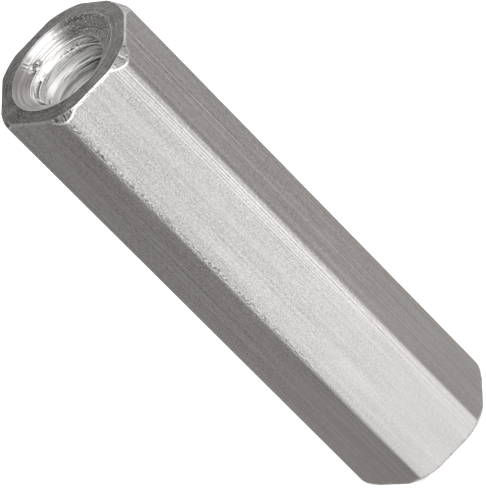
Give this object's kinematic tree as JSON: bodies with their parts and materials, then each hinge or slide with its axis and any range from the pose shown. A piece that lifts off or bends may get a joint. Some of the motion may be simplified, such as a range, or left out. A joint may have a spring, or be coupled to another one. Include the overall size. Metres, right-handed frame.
{
  "type": "hex standoff",
  "caption": "Hexagonal female-female standoff with rounded long edges, chamfered corners and a countersunk, tapped blind hole in each end.",
  "frame": {"origin": "centre of the lower end face, on which the standoff stands", "axes": "+Z along the holes towards the upper end face; -Y is the outward normal of one flat; +X points at a long edge"},
  "size_m": [0.007, 0.0064, 0.0254],
  "materials": {
    "aluminium": "drawn mill finish, satin with fine lengthwise lines and small nicks; lathe-turned end faces, countersinks and threads"
  },
  "bodies": {
    "root": {"standoff": "aluminium"}
  },
  "joints": []
}
